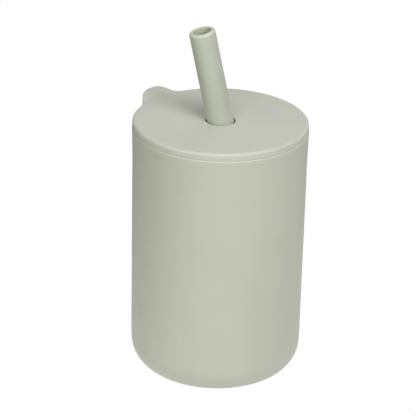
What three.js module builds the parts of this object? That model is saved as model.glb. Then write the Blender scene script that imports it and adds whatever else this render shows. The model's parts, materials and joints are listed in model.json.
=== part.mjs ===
// A child's soft silicone cup with a press-in lid and a loose silicone straw.
//
// Units are millimetres. The origin is the centre of the flat base and +Z is up. The lid's
// lift tab points back and to the left (-X, +Y), and the straw leans to the left (-X).
//
// Three pieces come apart on a bench: the cup, the lid with its tab, and the straw. Each is one
// moulding, so each is one closed solid, turned around its own axis. A gap of about 0.3 mm
// stands for each place where the real pieces press on each other.

import * as THREE from "three";

// ---- driving dimensions ----

const gap = 0.3;
const overallHeight = 106; // of the closed cup, without the straw
const rimRadius = 35; // of the cup's mouth

// cup
const baseRadius = 34; // the side's radius carried down to the base
const shoulderRadius = 34.6;
const shoulderHeight = 81; // above this the mouth flares out to the rim
const wall = 3;
const floorThickness = 3.5;
const footFillet = 12;
const innerFillet = footFillet - wall;
const rimFillet = 0.5;

// lid
const lidInset = 0.2; // of the lid's edge from the cup's rim
const flangeThickness = 3; // the edge that shows above the cup
const panelThickness = 3; // inside the plug ring
const topFillet = 1.1;
const underFillet = 0.15;
const strawHoleRadius = 5.9;
const holeChamfer = 0.3;
const plugDepth = 8;
const plugWall = 2.4;
const plugCornerFillet = 1;
const ribHeight = 0.6; // of a rib at the rim; lower ribs are a little less high
const ribHalfWidth = 0.9;
const ribDrops = [2.2, 5.2]; // how far below the flange each sealing rib lies

// lift tab, a lobe of the lid's edge that curls up
const tabAzimuth = 136.6; // degrees from +X
const tabHalfAngle = 12.75; // degrees
const tabReach = 4.25;
const tabSquareness = 3.3; // 2 is a bell curve, and more makes a fuller lobe
const tabCurl = 3;
const tabCurlPower = 1.2; // 1 is a straight ramp, and more curls later
const swellingReach = 0.18; // of the soft swelling that the lobe grows out of
const swellingHalfAngle = 37; // degrees

// straw
const strawRadius = 5.2;
const strawBoreRadius = 3.6;
const strawTopHeight = 142.7; // of the centre of its upper end
const strawLean = 12.3; // degrees from upright, to the left
const strawLeanBack = 2.5; // degrees from upright, to the back
const strawOuterLip = 1.05; // rounding of the ends' outer edges
const strawInnerLip = 0.35;

// facets
const turnSteps = 90;
const strawSteps = 32;
const filletSteps = 4;
const tabRings = 5; // across the flange, so that the tab can curl

// ---- derived places ----

const flangeUnderside = overallHeight - flangeThickness;
const cupHeight = flangeUnderside - gap;
const lidRadius = rimRadius - lidInset;
const mouthRadius = rimRadius - wall;
const plugRadius = mouthRadius - gap - ribHeight;
const { degToRad, lerp, clamp, radToDeg } = THREE.MathUtils;

// ---- profile helpers: a profile is a list of [radius, height] points ----

// Points along an arc around a centre, from one angle in degrees to another.
function arc(centreRadius, centreHeight, radius, from, to, steps = filletSteps) {
  return Array.from({ length: steps + 1 }, (_, i) => {
    const angle = degToRad(lerp(from, to, i / steps));
    return [centreRadius + radius * Math.cos(angle), centreHeight + radius * Math.sin(angle)];
  });
}

// Points at one height between two radii, without the ends.
function rings(fromRadius, toRadius, height) {
  return Array.from({ length: tabRings - 1 }, (_, i) => [
    lerp(fromRadius, toRadius, (i + 1) / tabRings),
    height,
  ]);
}

// A profile turned around +Z. Outer surfaces run upwards, so that faces point out.
function turned(profile, steps) {
  const points = profile.map(([radius, height]) => new THREE.Vector2(radius, height));
  return new THREE.LatheGeometry(points, steps).rotateX(Math.PI / 2);
}

function namedMesh(name, geometry, color, roughness) {
  const material = new THREE.MeshStandardMaterial({ color, roughness, metalness: 0 });
  const mesh = new THREE.Mesh(geometry, material);
  mesh.name = name;
  return mesh;
}

// ---- cup ----

// The side's outer radius: a slight taper, then a mouth that the lid's plug spreads a little.
function sideRadius(height) {
  const taper = (shoulderRadius - baseRadius) / shoulderHeight;
  const flare = Math.max(0, (height - shoulderHeight) / (cupHeight - shoulderHeight));
  const straight = baseRadius + taper * Math.min(height, shoulderHeight);
  return straight + (rimRadius - shoulderRadius) * flare ** 2;
}

function cupProfile() {
  const flareHeights = [0, 0.35, 0.6, 0.8].map((t) => lerp(shoulderHeight, cupHeight, t));
  const outerSide = flareHeights.map((height) => [sideRadius(height), height]);
  const innerSide = outerSide.map(([radius, height]) => [radius - wall, height]).reverse();
  const innerFloorRadius = baseRadius - wall - innerFillet;
  return [
    [0, 0],
    ...arc(baseRadius - footFillet, footFillet, footFillet, -90, 0, 8),
    ...outerSide,
    ...arc(rimRadius - rimFillet, cupHeight - rimFillet, rimFillet, 0, 90, 2),
    ...arc(mouthRadius + rimFillet, cupHeight - rimFillet, rimFillet, 90, 180, 2),
    ...innerSide,
    ...arc(innerFloorRadius, floorThickness + innerFillet, innerFillet, 0, -90, 6),
    [0, floorThickness],
  ];
}

function makeCup() {
  return namedMesh("cup", turned(cupProfile(), turnSteps), 0xc3c6b5, 0.62);
}

// ---- lid ----

// One sealing rib on the plug's outside, from its top to its bottom: a low rounded bump that
// reaches the wall of the flared mouth at its own height.
function ribProfile(drop) {
  const height = flangeUnderside - drop;
  const crest = sideRadius(height) - wall - gap;
  return [1, 0.4, -0.4, -1].map((t) => [
    lerp(crest, plugRadius, t * t),
    height + t * ribHalfWidth,
  ]);
}

// The lid's section: top, edge, underside, plug ring, panel underside and straw hole.
function lidProfile() {
  const plugEnd = plugWall / 2;
  const plugBottom = flangeUnderside - plugDepth;
  const cornerRadius = plugRadius - plugWall - plugCornerFillet;
  const panelUnderside = overallHeight - panelThickness;
  const edgeRadius = lidRadius - topFillet;
  const underRadius = lidRadius - underFillet;
  const section = [
    [strawHoleRadius, overallHeight - holeChamfer],
    [strawHoleRadius + holeChamfer, overallHeight],
    [plugRadius, overallHeight],
    ...rings(plugRadius, edgeRadius, overallHeight),
    ...arc(edgeRadius, overallHeight - topFillet, topFillet, 90, 0),
    ...arc(underRadius, flangeUnderside + underFillet, underFillet, 0, -90, 2),
    ...rings(underRadius, plugRadius, flangeUnderside),
    [plugRadius, flangeUnderside],
    ...ribDrops.flatMap(ribProfile),
    ...arc(plugRadius - plugEnd, plugBottom + plugEnd, plugEnd, 0, -180, 4),
    ...arc(cornerRadius, panelUnderside - plugCornerFillet, plugCornerFillet, 0, 90, 2),
    [strawHoleRadius + holeChamfer, panelUnderside],
    [strawHoleRadius, panelUnderside + holeChamfer],
  ];
  return [...section, section[0]].reverse();
}

// How far the lid's edge stands out past its round outline at an azimuth in degrees.
function edgeGrowth(azimuth) {
  const offCentre = Math.abs(azimuth - tabAzimuth);
  const lobe = Math.exp(-((offCentre / tabHalfAngle) ** tabSquareness));
  const swelling = Math.exp(-((offCentre / swellingHalfAngle) ** 2));
  return tabReach * lobe + swellingReach * swelling;
}

// How far the tab has curled up at a radius.
function curlHeight(radius) {
  const along = Math.max(0, (radius - lidRadius - swellingReach) / tabReach);
  return tabCurl * along ** tabCurlPower;
}

// Stretches the flange outside the plug into the tab, and curls up what passes the outline.
function growTab(geometry) {
  const position = geometry.getAttribute("position");
  for (let i = 0; i < position.count; i += 1) {
    const x = position.getX(i);
    const y = position.getY(i);
    const z = position.getZ(i);
    const radius = Math.hypot(x, y);
    if (radius > plugRadius && z > flangeUnderside - gap) {
      const share = clamp((radius - plugRadius) / (lidRadius - topFillet - plugRadius), 0, 1);
      const grown = radius + share * edgeGrowth(radToDeg(Math.atan2(y, x)));
      const scale = grown / radius;
      position.setXYZ(i, x * scale, y * scale, z + curlHeight(grown));
    }
  }
  geometry.computeVertexNormals();
  return geometry;
}

function makeLid() {
  return namedMesh("lid", growTab(turned(lidProfile(), turnSteps)), 0xc5c8ba, 0.6);
}

// ---- straw ----

// The straw's section from its foot to its top, both measured along its axis from the lid's top.
function strawProfile(foot, top) {
  const outer = strawRadius - strawOuterLip;
  const inner = strawBoreRadius + strawInnerLip;
  const section = [
    ...arc(outer, foot + strawOuterLip, strawOuterLip, -90, 0, 3),
    ...arc(outer, top - strawOuterLip, strawOuterLip, 0, 90, 3),
    ...arc(inner, top - strawInnerLip, strawInnerLip, 90, 180, 2),
    ...arc(inner, foot + strawInnerLip, strawInnerLip, 180, 270, 2),
  ];
  return [...section, section[0]];
}

// The straw leans on the left edge of the lid's hole, and its foot stands on the cup's floor.
function makeStraw() {
  const tilt = new THREE.Euler(-degToRad(strawLeanBack), -degToRad(strawLean), 0);
  const rise = new THREE.Vector3(0, 0, 1).applyEuler(tilt).z;
  const slope = Math.sqrt(1 - rise * rise);
  const footDrop = (strawRadius - strawOuterLip) * slope + strawOuterLip * (1 - rise);
  const footHeight = floorThickness + gap + footDrop;
  const foot = (footHeight - overallHeight) / rise;
  const top = (strawTopHeight - overallHeight) / rise;
  const straw = namedMesh("straw", turned(strawProfile(foot, top), strawSteps), 0xb9bfa9, 0.55);
  const lean = strawRadius / Math.cos(degToRad(strawLean)) + gap - strawHoleRadius;
  straw.rotation.copy(tilt);
  straw.position.set(lean, 0, overallHeight);
  return straw;
}

const cupWithStraw = new THREE.Group();
cupWithStraw.add(makeCup(), makeLid(), makeStraw());

export default cupWithStraw;
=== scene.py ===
"""A child's silicone straw cup: the fine cup, lid and straw around the CAD frame, in a plain bright studio.

The pieces' sizes are in millimetres and become metres in the meshes, and the studio's are in metres.
The frame has its origin at the centre of the base and +Z up. The lift tab points to -X and +Y, and the
straw leans to -X."""

import json
import math
import bpy
from mathutils import Matrix, Vector


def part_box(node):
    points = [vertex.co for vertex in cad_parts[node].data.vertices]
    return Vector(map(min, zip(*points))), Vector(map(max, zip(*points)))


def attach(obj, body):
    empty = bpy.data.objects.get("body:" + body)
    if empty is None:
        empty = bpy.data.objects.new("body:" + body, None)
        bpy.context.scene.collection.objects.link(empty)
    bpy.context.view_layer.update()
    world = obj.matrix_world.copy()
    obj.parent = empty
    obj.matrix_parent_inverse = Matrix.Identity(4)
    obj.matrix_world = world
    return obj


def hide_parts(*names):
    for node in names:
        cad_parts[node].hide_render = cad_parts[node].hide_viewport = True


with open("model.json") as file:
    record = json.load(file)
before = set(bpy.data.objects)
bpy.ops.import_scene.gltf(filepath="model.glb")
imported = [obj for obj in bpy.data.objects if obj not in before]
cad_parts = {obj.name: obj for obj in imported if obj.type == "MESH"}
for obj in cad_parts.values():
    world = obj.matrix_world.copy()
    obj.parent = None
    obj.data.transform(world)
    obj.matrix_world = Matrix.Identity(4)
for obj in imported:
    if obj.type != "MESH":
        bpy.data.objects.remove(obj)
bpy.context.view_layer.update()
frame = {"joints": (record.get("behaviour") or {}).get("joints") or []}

# ---- sizes taken from the frame ----

MM = 0.001
CUP_LOW, CUP_HIGH = (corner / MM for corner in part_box("cup"))
STRAW_LOW, STRAW_HIGH = (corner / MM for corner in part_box("straw"))
STRAW_AXIS = next(Vector(j["axis"]) for j in frame["joints"] if j["name"] == "straw_slide").normalized()
RIM_RADIUS = (CUP_HIGH.y - CUP_LOW.y) / 2
GAP = 0.3  # between the frame's pieces where the real ones press on each other
SEAM = 0.02  # what the fine cup leaves of the gap under the lid's flange
FLANGE_UNDERSIDE = CUP_HIGH.z + GAP
CUP_HEIGHT = FLANGE_UNDERSIDE - SEAM

# ---- driving dimensions ----

# cup
BASE_RADIUS = 34.0
SHOULDER_RADIUS = 34.6
SHOULDER_HEIGHT = 81.0
WALL = 3.0
FLOOR = 3.5
FOOT_FILLET = 12.0
INNER_FILLET = FOOT_FILLET - WALL
RIM_FILLET = 0.5

# lid
LID_INSET = 0.2
LID_RADIUS = RIM_RADIUS - LID_INSET
FLANGE = 3.0  # thickness of the edge that shows above the cup
LID_TOP = FLANGE_UNDERSIDE + FLANGE
PANEL = 3.0  # thickness inside the plug ring
TOP_FILLET = 1.1
UNDER_FILLET = 0.15
HOLE_RADIUS = 5.9
HOLE_FILLET = 0.35
RIB_HEIGHT = 0.6
RIB_HALF_WIDTH = 0.9
RIB_DROPS = (2.2, 5.2)  # how far below the flange each sealing rib lies
PLUG_RADIUS = RIM_RADIUS - WALL - GAP - RIB_HEIGHT
PLUG_WALL = 2.4
PLUG_DEPTH = 8.0
PLUG_BOTTOM = FLANGE_UNDERSIDE - PLUG_DEPTH
PLUG_CORNER = 1.0

# lift tab, a lobe of the lid's edge that curls up; angles are in degrees
TAB_AZIMUTH = 136.6
TAB_HALF_ANGLE = 12.75
TAB_REACH = 4.25
TAB_SQUARENESS = 3.3  # 2 is a bell curve, and more makes a fuller lobe
TAB_CURL = 3.0
TAB_CURL_POWER = 1.2  # 1 is a straight ramp, and more curls later
SWELLING_REACH = 0.18  # of the soft swelling that the lobe grows out of
SWELLING_HALF_ANGLE = 37.0

# straw
STRAW_RADIUS = 5.2
STRAW_BORE = 3.6
STRAW_LIP = 1.05
STRAW_INNER_LIP = 0.35
STRAW_SLANT = 4.0  # degrees off square at the upper end

# facets
TURN_STEPS = 360
STRAW_STEPS = 96
SHORTEST_SPAN = 0.05  # a bend between closer rings counts as this long

# colours
# painted bounce tint for inward-facing surfaces, standing in for light reflected around the hollows
HOLLOW_BOUNCE_TINT = (1.0, 1.0, 0.82, 1.0)
LINT = (0.68, 0.7, 0.62, 1.0)
PLAIN_LAMP = (1.01, 1.0, 1.06)
COOL_LAMP = (1.03, 1.0, 1.155)
ROOM_LIGHT = (0.97, 1.0, 0.76, 1.0)


# ---- profiles: lists of (radius, height), outer surfaces running upwards ----


def arc(centre_r, centre_z, radius, start, end, steps=10):
    """Points along an arc around a centre, from one angle in degrees to another."""
    angles = [math.radians(start + (end - start) * i / steps) for i in range(steps + 1)]
    return [(centre_r + radius * math.cos(a), centre_z + radius * math.sin(a)) for a in angles]


def line(start, end, steps):
    """Evenly spaced points between two others, without those two."""
    return [
        tuple(a + (b - a) * i / steps for a, b in zip(start, end))
        for i in range(1, steps)
    ]


def side_radius(height):
    """The cup's outer radius: a slight taper, then a mouth that the lid's plug spreads a little."""
    taper = (SHOULDER_RADIUS - BASE_RADIUS) / SHOULDER_HEIGHT
    straight = BASE_RADIUS + taper * min(height, SHOULDER_HEIGHT)
    flare = max(0.0, (height - SHOULDER_HEIGHT) / (CUP_HEIGHT - SHOULDER_HEIGHT))
    return straight + (RIM_RADIUS - SHOULDER_RADIUS) * flare**2


def cup_profile():
    """From the middle of the base up the outside, over the rim and down to the middle of the floor."""
    side_steps = 48
    lowest, highest = FOOT_FILLET, CUP_HEIGHT - RIM_FILLET
    heights = [lowest + (highest - lowest) * i / side_steps for i in range(1, side_steps)]
    outer = [(side_radius(h), h) for h in heights]
    inner = [(r - WALL, h) for r, h in reversed(outer) if h > FLOOR + INNER_FILLET]
    mouth = RIM_RADIUS - WALL
    return [
        (0.0, 0.0),
        *line((0.0, 0.0), (BASE_RADIUS - FOOT_FILLET, 0.0), 6),
        *arc(BASE_RADIUS - FOOT_FILLET, FOOT_FILLET, FOOT_FILLET, -90, 0, 24),
        *outer,
        *arc(RIM_RADIUS - RIM_FILLET, highest, RIM_FILLET, 0, 90, 8),
        *line((RIM_RADIUS - RIM_FILLET, CUP_HEIGHT), (mouth + RIM_FILLET, CUP_HEIGHT), 3),
        *arc(mouth + RIM_FILLET, highest, RIM_FILLET, 90, 180, 8),
        *inner,
        *arc(BASE_RADIUS - WALL - INNER_FILLET, FLOOR + INNER_FILLET, INNER_FILLET, 0, -90, 20),
        (0.0, FLOOR),
    ]


def rib_profile(drop):
    """One sealing rib, from its top to its bottom, reaching the flared mouth at its own height."""
    height = FLANGE_UNDERSIDE - drop
    crest = side_radius(height) - WALL - GAP
    steps = 10
    bump = [1 - 2 * i / steps for i in range(steps + 1)]
    return [(crest + (PLUG_RADIUS - crest) * t * t, height + t * RIB_HALF_WIDTH) for t in bump]


def lid_profile():
    """Once around the lid's section. It is listed from the hole outwards and back underneath, and then
    reversed."""
    edge = LID_RADIUS - TOP_FILLET
    under = LID_RADIUS - UNDER_FILLET
    panel = LID_TOP - PANEL
    corner = PLUG_RADIUS - PLUG_WALL - PLUG_CORNER
    plug_end = PLUG_WALL / 2
    hole = HOLE_RADIUS + HOLE_FILLET
    ribs = [point for drop in RIB_DROPS for point in rib_profile(drop)]
    section = [
        *arc(hole, LID_TOP - HOLE_FILLET, HOLE_FILLET, 180, 90, 6),
        *line((hole, LID_TOP), (PLUG_RADIUS, LID_TOP), 12),
        (PLUG_RADIUS, LID_TOP),
        *line((PLUG_RADIUS, LID_TOP), (edge, LID_TOP), 8),
        *arc(edge, LID_TOP - TOP_FILLET, TOP_FILLET, 90, 0, 12),
        *arc(under, FLANGE_UNDERSIDE + UNDER_FILLET, UNDER_FILLET, 0, -90, 6),
        *line((under, FLANGE_UNDERSIDE), (PLUG_RADIUS, FLANGE_UNDERSIDE), 8),
        (PLUG_RADIUS, FLANGE_UNDERSIDE),
        *ribs,
        *arc(PLUG_RADIUS - plug_end, PLUG_BOTTOM + plug_end, plug_end, 0, -180, 16),
        *arc(corner, panel - PLUG_CORNER, PLUG_CORNER, 0, 90, 8),
        *line((corner, panel), (hole, panel), 8),
        *arc(hole, panel + HOLE_FILLET, HOLE_FILLET, 270, 180, 6),
    ]
    outer_surface_upwards = section[::-1]
    return outer_surface_upwards


def straw_profile(half):
    """Once around the section of a straw of a given half length: up the outside and down the bore."""
    outer, inner = STRAW_RADIUS - STRAW_LIP, STRAW_BORE + STRAW_INNER_LIP
    end, inner_end = half - STRAW_LIP, half - STRAW_INNER_LIP
    return [
        *arc(outer, -end, STRAW_LIP, -90, 0, 10),
        *line((STRAW_RADIUS, -end), (STRAW_RADIUS, end), 24),
        *arc(outer, end, STRAW_LIP, 0, 90, 10),
        *arc(inner, inner_end, STRAW_INNER_LIP, 90, 180, 6),
        *line((STRAW_BORE, inner_end), (STRAW_BORE, -inner_end), 24),
        *arc(inner, -inner_end, STRAW_INNER_LIP, 180, 270, 6),
    ]


# ---- what each ring of a profile tells its material ----


def edge_wear_and_highlight(rings):
    """For each ring, 1 where the profile rounds outwards at 1 mm or less, down to 0 where it doesn't."""
    wear_and_highlight = []
    for before, here, after in zip(rings[-1:] + rings[:-1], rings, rings[1:] + rings[:1]):
        arriving, leaving = Vector(here) - Vector(before), Vector(after) - Vector(here)
        span = (arriving.length + leaving.length) / 2
        bend = math.atan2(arriving.cross(leaving), arriving.dot(leaving)) if span > 0 else 0.0
        wear_and_highlight.append(min(1.0, max(0.0, bend / max(span, SHORTEST_SPAN))))
    return wear_and_highlight


def inward_facing(rings):
    """For each ring, 1 where the surface looks straight at the axis, down to 0 where it doesn't."""
    shares = []
    for before, after in zip(rings[-1:] + rings[:-1], rings[1:] + rings[:1]):
        along = Vector(after) - Vector(before)
        shares.append(max(0.0, -along.y / along.length))
    return shares


# ---- meshes ----


def turned(name, profile, steps, shape=lambda point: point):
    """Turns a profile around +Z into a smooth closed mesh, after which shape moves each point.
    A profile starts and ends on the axis or closes on itself."""
    on_axis = profile[0][0] == 0.0
    rings = profile[1:-1] if on_axis else profile
    points, faces = [], []
    for radius, height in rings:
        for step in range(steps):
            angle = 2 * math.pi * step / steps
            points.append(shape(Vector((radius * math.cos(angle), radius * math.sin(angle), height))))
    pairs = len(rings) - 1 if on_axis else len(rings)
    for ring in range(pairs):
        low, high = ring * steps, (ring + 1) % len(rings) * steps
        for step in range(steps):
            after = (step + 1) % steps
            faces.append((low + step, low + after, high + after, high + step))
    if on_axis:
        last = (len(rings) - 1) * steps
        first_pole, last_pole = len(points), len(points) + 1
        points += [Vector((0, 0, profile[0][1])), Vector((0, 0, profile[-1][1]))]
        for step in range(steps):
            after = (step + 1) % steps
            faces.append((first_pole, after, step))
            faces.append((last_pole, last + step, last + after))
    mesh = bpy.data.meshes.new(name)
    mesh.from_pydata([point * MM for point in points], [], faces)
    mesh.shade_smooth()
    for attribute_name, amounts in (("wear_and_highlight", edge_wear_and_highlight(rings)), ("inside", inward_facing(rings))):
        attribute = mesh.attributes.new(attribute_name, "FLOAT", "POINT")
        poles = [0.0] * (len(points) - len(rings) * steps)
        attribute.data.foreach_set("value", [a for a in amounts for _ in range(steps)] + poles)
    piece = bpy.data.objects.new(name, mesh)
    bpy.context.scene.collection.objects.link(piece)
    return piece


def edge_growth(azimuth):
    """How far the lid's edge stands out past its round outline at an azimuth in degrees."""
    off_centre = abs(azimuth - TAB_AZIMUTH)
    lobe = math.exp(-((off_centre / TAB_HALF_ANGLE) ** TAB_SQUARENESS))
    swelling = math.exp(-((off_centre / SWELLING_HALF_ANGLE) ** 2))
    return TAB_REACH * lobe + SWELLING_REACH * swelling


def tab_shape(point):
    """Stretches the flange outside the plug into the tab, and curls up what passes the outline."""
    radius = math.hypot(point.x, point.y)
    if radius <= PLUG_RADIUS or point.z < CUP_HEIGHT:
        return point
    share = min(1.0, (radius - PLUG_RADIUS) / (LID_RADIUS - TOP_FILLET - PLUG_RADIUS))
    grown = radius + share * edge_growth(math.degrees(math.atan2(point.y, point.x)))
    along = max(0.0, (grown - LID_RADIUS - SWELLING_REACH) / TAB_REACH)
    scale = grown / radius
    return Vector((point.x * scale, point.y * scale, point.z + TAB_CURL * along**TAB_CURL_POWER))


def make_cup():
    return turned("cup_silicone_body", cup_profile(), TURN_STEPS)


def make_lid():
    return turned("lid_with_lift_tab", lid_profile(), TURN_STEPS, tab_shape)


def make_straw():
    """The straw lies on the frame's straw: its middle is the middle of that solid's box."""
    slope = math.sqrt(1 - STRAW_AXIS.z**2)
    box_height = STRAW_HIGH.z - STRAW_LOW.z
    height_of_ends = 2 * STRAW_LIP * (1 - slope - STRAW_AXIS.z) + 2 * STRAW_RADIUS * slope
    half = (box_height - height_of_ends) / STRAW_AXIS.z / 2
    middle = (STRAW_LOW + STRAW_HIGH) / 2
    leaning = STRAW_AXIS.to_track_quat("Z", "Y")
    rise = math.tan(math.radians(STRAW_SLANT))
    upper_end = half - 1.5 * STRAW_LIP

    def straw_shape(point):
        """Cuts the upper end a little off square, higher at the back, and leans the straw."""
        leant = leaning @ point
        beside_axis = leant - STRAW_AXIS * leant.dot(STRAW_AXIS)
        cut = rise * beside_axis.y if point.z > upper_end else 0.0
        return middle + leant + STRAW_AXIS * cut

    return turned("straw_tube", straw_profile(half), STRAW_STEPS, straw_shape)


# ---- materials ----


class NodeBench:
    """The node tree of one material, with a short way to add each kind of node."""

    def __init__(self, material):
        material.use_nodes = True
        self.nodes = material.node_tree.nodes
        self.links = material.node_tree.links
        self.shader = self.nodes["Principled BSDF"]
        self.place = self.nodes.new("ShaderNodeTexCoord").outputs["Object"]

    def feed(self, socket, value):
        """Links an input to the output that is given, or sets it to the plain value."""
        if isinstance(value, bpy.types.NodeSocket):
            self.links.new(value, socket)
        else:
            socket.default_value = value

    def added(self, kind, **values):
        """A new node, with each named input fed. An underscore stands for a space."""
        node = self.nodes.new(kind)
        for name, value in values.items():
            self.feed(node.inputs[name.replace("_", " ")], value)
        return node

    def noise(self, scale, detail):
        node = self.added("ShaderNodeTexNoise", Vector=self.place, Scale=scale, Detail=detail)
        return node.outputs["Fac"]

    def ranged(self, noise, low, high):
        """Spreads a noise, most of which lies between 0.3 and 0.7, from low to high."""
        ends = {"From_Min": 0.3, "From_Max": 0.7, "To_Min": low, "To_Max": high}
        return self.added("ShaderNodeMapRange", Value=noise, **ends).outputs["Result"]

    def maths(self, operation, first, second):
        node = self.nodes.new("ShaderNodeMath")
        node.operation = operation
        self.feed(node.inputs[0], first)
        self.feed(node.inputs[1], second)
        return node.outputs["Value"]

    def attribute(self, name):
        node = self.nodes.new("ShaderNodeAttribute")
        node.attribute_name = name
        return node.outputs["Fac"]

    def mixed(self, kind, factor, first, second):
        """Mixes two colours. The node's inputs 0, 6 and 7 are for colours, and so is its output 2."""
        node = self.nodes.new("ShaderNodeMix")
        node.data_type = "RGBA"
        node.blend_type = kind
        for socket, value in ((0, factor), (6, first), (7, second)):
            self.feed(node.inputs[socket], value)
        return node.outputs[2]

    def bump(self, height, **values):
        return self.added("ShaderNodeBump", Height=height, **values).outputs["Normal"]


def moulded_colour(bench, colour, wear_and_highlight_paleness):
    """Faint clouding and grain, a painted yellower bounce tint on inward-facing surfaces, and rounded edges
    paler, partly as rubbed wear and partly as painted highlight.
    """
    clouds = bench.ranged(bench.noise(scale=45.0, detail=3.0), 0.0, 1.0)
    darker = tuple(0.965 * c for c in colour)
    tinted = bench.mixed("MIX", clouds, (*darker, 1.0), (*colour, 1.0))
    grain = bench.ranged(bench.noise(scale=2600.0, detail=2.0), 0.0, 1.0)
    grained = bench.mixed("MULTIPLY", grain, tinted, (0.975, 0.975, 0.975, 1.0))
    # Inward-facing surfaces get a painted yellower bounce tint, standing in for light reflected around the
    # bore and the cup's inside.
    bounce_tinted = bench.mixed("MULTIPLY", bench.attribute("inside"), grained, HOLLOW_BOUNCE_TINT)
    # Rounded edges are made paler. This is partly rubbed wear and partly a painted highlight where edges
    # such as the straw's lip catch the light.
    patches = bench.ranged(bench.noise(scale=190.0, detail=3.0), 0.7, 1.0)
    rubbed_and_highlit = bench.maths("MULTIPLY", bench.attribute("wear_and_highlight"), patches)
    pale = tuple(wear_and_highlight_paleness * c + 0.03 for c in colour)
    return bench.mixed("MIX", rubbed_and_highlit, bounce_tinted, (*pale, 1.0))


def with_lint(bench, colour):
    """Adds rare specks of lint, up to 0.3 mm across, in the middles of a few of a pattern's cells."""
    cells_per_metre = 230.0
    speck_radius = 0.035  # of a cell's width
    least_brightness = 0.8  # of a cell's random colour, for it to have a speck
    cells = bench.added("ShaderNodeTexVoronoi", Vector=bench.place, Scale=cells_per_metre)
    near = bench.maths("LESS_THAN", cells.outputs["Distance"], speck_radius)
    chosen = bench.maths("GREATER_THAN", cells.outputs["Color"], least_brightness)
    return bench.mixed("MIX", bench.maths("MULTIPLY", near, chosen), colour, LINT)


def silicone(name, colour, roughness, wear_and_highlight_paleness):
    """Soft matte silicone with a fine skin over slow waves."""
    material = bpy.data.materials.new(name)
    bench = NodeBench(material)
    skin = bench.bump(bench.noise(scale=3800.0, detail=3.0), Strength=0.35, Distance=0.00003)
    waves = bench.bump(bench.noise(scale=260.0, detail=2.0), Strength=0.3, Distance=0.00006, Normal=skin)
    inputs = {
        "Base Color": with_lint(bench, moulded_colour(bench, colour, wear_and_highlight_paleness)),
        "Roughness": bench.ranged(bench.noise(scale=120.0, detail=4.0), roughness - 0.05, roughness + 0.05),
        "Normal": waves,
        "Subsurface Weight": 0.2,
        "Subsurface Radius": (1.0, 1.0, 0.75),
        "Subsurface Scale": 2 * MM,
        "Specular IOR Level": 0.7,
        "Sheen Weight": 0.12,
        "Sheen Roughness": 0.5,
    }
    for socket, value in inputs.items():
        bench.feed(bench.shader.inputs[socket], value)
    return material


def glowing(name, colour, strength):
    """A surface that shines evenly and reflects nothing."""
    material = bpy.data.materials.new(name)
    material.use_nodes = True
    shader = material.node_tree.nodes["Principled BSDF"]
    shader.inputs["Base Color"].default_value = (0.0, 0.0, 0.0, 1.0)
    shader.inputs["Specular IOR Level"].default_value = 0.0
    shader.inputs["Emission Color"].default_value = (*colour, 1.0)
    shader.inputs["Emission Strength"].default_value = strength
    return material


# ---- studio ----


def area_light(name, azimuth, elevation, power, colour=PLAIN_LAMP, distance=0.9, size=0.35):
    """A square softbox that faces the middle of the lid. Azimuth is from +X, and angles are in degrees."""
    a, e = math.radians(azimuth), math.radians(elevation)
    away = Vector((math.cos(a) * math.cos(e), math.sin(a) * math.cos(e), math.sin(e)))
    aim = Vector((0, 0, LID_TOP * MM))
    light = bpy.data.lights.new(name, "AREA")
    light.energy = power
    light.size = size
    light.color = colour
    lamp = bpy.data.objects.new(name, light)
    lamp.location = aim + away * distance
    lamp.rotation_mode = "QUATERNION"
    lamp.rotation_quaternion = away.to_track_quat("Z", "Y")
    bpy.context.scene.collection.objects.link(lamp)
    return lamp


def make_floor():
    """A plain white floor that only shows behind the object: the light table does its lighting."""
    reach = 6.0
    height = -0.1 * MM  # just clear of the base
    mesh = bpy.data.meshes.new("floor")
    corners = [(x * reach, y * reach, height) for x, y in ((-1, -1), (1, -1), (1, 1), (-1, 1))]
    mesh.from_pydata(corners, [], [(0, 1, 2, 3)])
    floor = bpy.data.objects.new("floor", mesh)
    floor.data.materials.append(glowing("pale_floor", (1.0, 1.0, 1.0), 1.0))
    floor.visible_diffuse = False
    floor.visible_glossy = False
    floor.visible_transmission = False
    floor.visible_shadow = False
    bpy.context.scene.collection.objects.link(floor)


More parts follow.
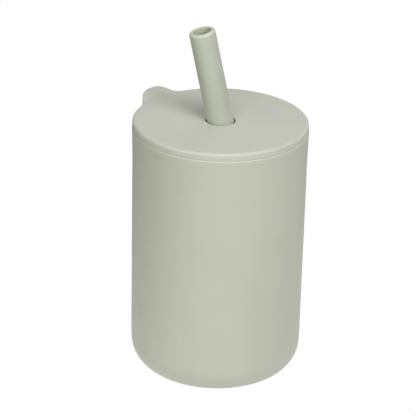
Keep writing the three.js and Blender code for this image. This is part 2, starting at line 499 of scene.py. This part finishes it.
def make_lights():
    """Softboxes around the object, and a square of light that it stands on, as on a light table."""
    area_light("key_softbox", -50, 35, 2.52, COOL_LAMP)
    area_light("high_softbox", -80, 60, 0.49, COOL_LAMP, distance=0.45, size=0.175)
    area_light("overhead_softbox", -90, 75, 0.38, COOL_LAMP, distance=0.5, size=0.2)
    area_light("front_softbox", -110, 8, 1.45)
    area_light("front_high_softbox", -110, 35, 1.25)
    area_light("left_softbox", -145, 25, 0.56)
    area_light("low_right_softbox", 40, 8, 1.15)
    area_light("right_back_softbox", 70, 30, 0.65, COOL_LAMP)
    area_light("back_softbox", 100, 15, 0.55, COOL_LAMP)
    table = area_light("light_table", 0, -90, 0.75, distance=LID_TOP * MM, size=0.6)
    to_the_front_right = Vector((0.14, -0.18, 0))
    table.location += to_the_front_right


def make_world():
    """Even light from the room's white walls."""
    world = bpy.data.worlds.new("white_room")
    world.use_nodes = True
    background = world.node_tree.nodes["Background"]
    background.inputs["Color"].default_value = ROOM_LIGHT
    background.inputs["Strength"].default_value = 0.187
    bpy.context.scene.world = world


def make_camera():
    """A long lens from the front, looking a little down, with a slight roll."""
    pitch, roll = math.radians(23.93), math.radians(-1.423)
    distance = 1.205
    aim = Vector((-0.00418, 0.00665, 0.06499))
    right = Vector((1, 0, 0))
    up = Vector((0, math.sin(pitch), math.cos(pitch)))
    back = Vector((0, -math.cos(pitch), math.sin(pitch)))
    turned_right = right * math.cos(roll) - up * math.sin(roll)
    turned_up = right * math.sin(roll) + up * math.cos(roll)
    lens = bpy.data.cameras.new("camera")
    lens.sensor_width = 36.0
    lens.lens = 259.6
    lens.clip_start = 0.05
    camera = bpy.data.objects.new("camera", lens)
    camera.matrix_world = Matrix.Translation(aim + back * distance) @ Matrix(
        (turned_right, turned_up, back)
    ).transposed().to_4x4()
    bpy.context.scene.collection.objects.link(camera)
    bpy.context.scene.camera = camera


# ---- the scene ----

# how each piece is made, its node and slot, and its colour, roughness and how pale its edges are painted,
# partly as rubbed wear and partly as painted highlight
PIECES = (
    (make_cup, "cup", "cup_silicone", (0.522, 0.547, 0.434), 0.6, 1.03),
    (make_lid, "lid", "lid_silicone", (0.558, 0.583, 0.470), 0.58, 0.95),
    (make_straw, "straw", "straw_silicone", (0.482, 0.511, 0.396), 0.55, 1.13),
)

make_camera()
for make, node, slot, colour, roughness, wear_and_highlight_paleness in PIECES:
    piece = make()
    piece.data.materials.append(silicone(slot, colour, roughness, wear_and_highlight_paleness))
    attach(piece, node)
    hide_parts(node)
make_floor()
make_lights()
make_world()
bpy.context.scene.view_settings.view_transform = "Standard"
